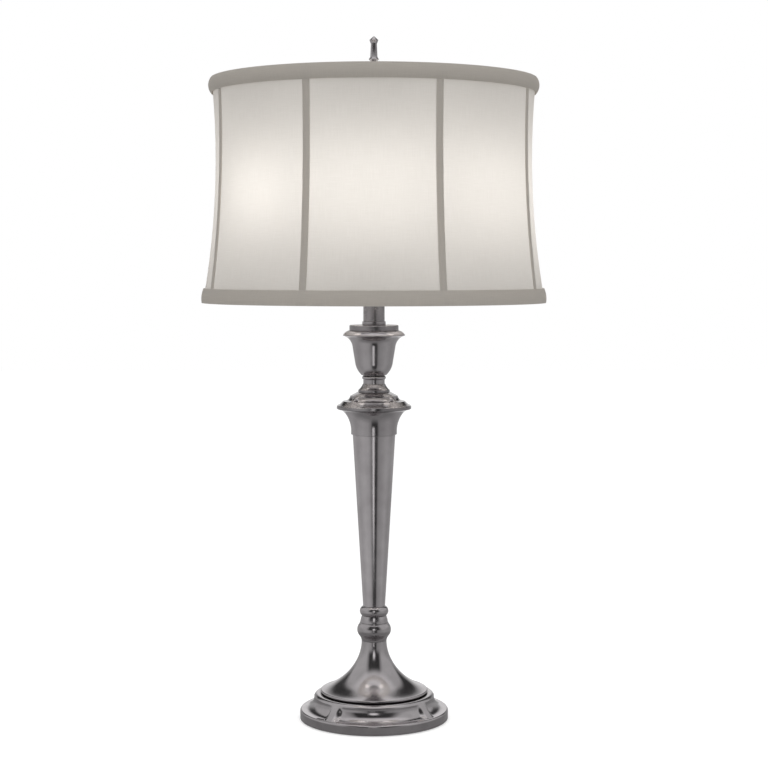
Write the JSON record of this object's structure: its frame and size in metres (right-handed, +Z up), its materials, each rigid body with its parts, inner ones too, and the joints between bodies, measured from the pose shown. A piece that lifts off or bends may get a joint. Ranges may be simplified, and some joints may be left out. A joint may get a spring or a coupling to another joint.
{
  "type": "candlestick table lamp",
  "caption": "Tall turned candlestick table lamp with a scalloped round foot, tapered column, candle cup and a wide panelled drum shade that curves in at the waist.",
  "frame": {"origin": "centre of the felt under the foot, on the surface that the lamp stands on", "axes": "+Z up along the lamp's axis, -Y the front seen in the picture, +X to the viewer's right"},
  "size_m": [0.4078, 0.4078, 0.8128],
  "materials": {
    "pewter": "turned and polished antique pewter plate",
    "candle_tube_pewter": "smooth satin pewter",
    "felt": "pressed felt",
    "weight_iron": "rough cast",
    "zinc_steel": "zinc plated",
    "wire_steel": "white coated wire",
    "brass": "plain",
    "phenolic": "moulded phenolic",
    "liner_card": "plain card",
    "knob_plastic": "moulded",
    "bushing_plastic": "moulded",
    "bulb_base_metal": "rolled thread",
    "bulb_glass": "soft white inside coating",
    "shade_fabric": "fine even weave over a stiff liner",
    "trim_fabric": "folded tape"
  },
  "bodies": {
    "stem": {"felt_pad": "felt", "base_foot": "pewter", "cord_bushing": "bushing_plastic", "base_weight": "weight_iron", "bottom_washer": "zinc_steel", "bottom_nut": "zinc_steel", "centre_pipe": "zinc_steel", "base_bell": "pewter", "lower_knob": "pewter", "knob_collar": "pewter", "neck_ring": "pewter", "column": "pewter", "column_collar": "pewter", "upper_disc": "pewter", "disc_pedestal": "pewter", "cup_neck": "pewter", "candle_cup": "pewter", "cup_cover": "pewter", "check_ring": "pewter", "candle_tube": "candle_tube_pewter", "tube_cap": "pewter", "cluster_body": "pewter", "riser_rod": "pewter", "riser_seat": "pewter", "socket_cap_left": "pewter", "socket_shell_left": "pewter", "socket_liner_left": "liner_card", "socket_core_left": "phenolic", "screw_shell_left": "brass", "socket_cap_right": "pewter", "socket_shell_right": "pewter", "socket_liner_right": "liner_card", "socket_core_right": "phenolic", "screw_shell_right": "brass"},
    "shade": {"spider": "wire_steel", "top_ring": "wire_steel", "bottom_ring": "wire_steel", "rib_wires": "wire_steel", "rib_trims": "trim_fabric", "top_trim": "trim_fabric", "bottom_trim": "trim_fabric", "shade_panel_1": "shade_fabric", "shade_panel_2": "shade_fabric", "shade_panel_3": "shade_fabric", "shade_panel_4": "shade_fabric", "shade_panel_5": "shade_fabric", "shade_panel_6": "shade_fabric", "shade_panel_7": "shade_fabric", "shade_panel_8": "shade_fabric"},
    "finial_thread": {"finial_insert": "brass"},
    "finial": {"finial": "pewter"},
    "switch_left": {"switch_shaft_left": "brass", "switch_knob_left": "knob_plastic"},
    "bulb_glass_left": {"bulb_glass_left": "bulb_glass"},
    "bulb_base_left": {"bulb_base_left": "bulb_base_metal"},
    "switch_right": {"switch_shaft_right": "brass", "switch_knob_right": "knob_plastic"},
    "bulb_glass_right": {"bulb_glass_right": "bulb_glass"},
    "bulb_base_right": {"bulb_base_right": "bulb_base_metal"}
  },
  "joints": [
    {"name": "shade_turn", "type": "hinge", "parent": "stem", "child": "shade", "pos_m": [0, 0, 0.7479], "axis": [0, 0, 1], "continuous": true},
    {"name": "finial_rise", "type": "slide", "parent": "stem", "child": "finial_thread", "axis": [0, 0, 1], "range_m": [0, 0.0075]},
    {"name": "finial_turn", "type": "hinge", "parent": "finial_thread", "child": "finial", "pos_m": [0, 0, 0.7514], "axis": [0, 0, 1], "range_deg": [0, 2880]},
    {"name": "switch_left_turn", "type": "hinge", "parent": "stem", "child": "switch_left", "pos_m": [-0.0415, 0, 0.59], "axis": [0, 0, 1], "continuous": true},
    {"name": "bulb_left_travel", "type": "slide", "parent": "stem", "child": "bulb_glass_left", "axis": [-1, 0, 0], "range_m": [0, 0.0181]},
    {"name": "bulb_left_turn", "type": "hinge", "parent": "bulb_glass_left", "child": "bulb_base_left", "pos_m": [-0.0648, 0, 0.6119], "axis": [-1, 0, 0], "range_deg": [0, 1800]},
    {"name": "switch_right_turn", "type": "hinge", "parent": "stem", "child": "switch_right", "pos_m": [0.0415, 0, 0.59], "axis": [0, 0, 1], "continuous": true},
    {"name": "bulb_right_travel", "type": "slide", "parent": "stem", "child": "bulb_glass_right", "axis": [1, 0, 0], "range_m": [0, 0.0181]},
    {"name": "bulb_right_turn", "type": "hinge", "parent": "bulb_glass_right", "child": "bulb_base_right", "pos_m": [0.0648, 0, 0.6119], "axis": [1, 0, 0], "range_deg": [0, 1800]}
  ],
  "couplings": [
    {"joint": "finial_turn", "follows": "finial_rise", "rad_per_m": 6684.2},
    {"joint": "bulb_left_turn", "follows": "bulb_left_travel", "rad_per_m": 1731.4},
    {"joint": "bulb_right_turn", "follows": "bulb_right_travel", "rad_per_m": 1731.4}
  ]
}
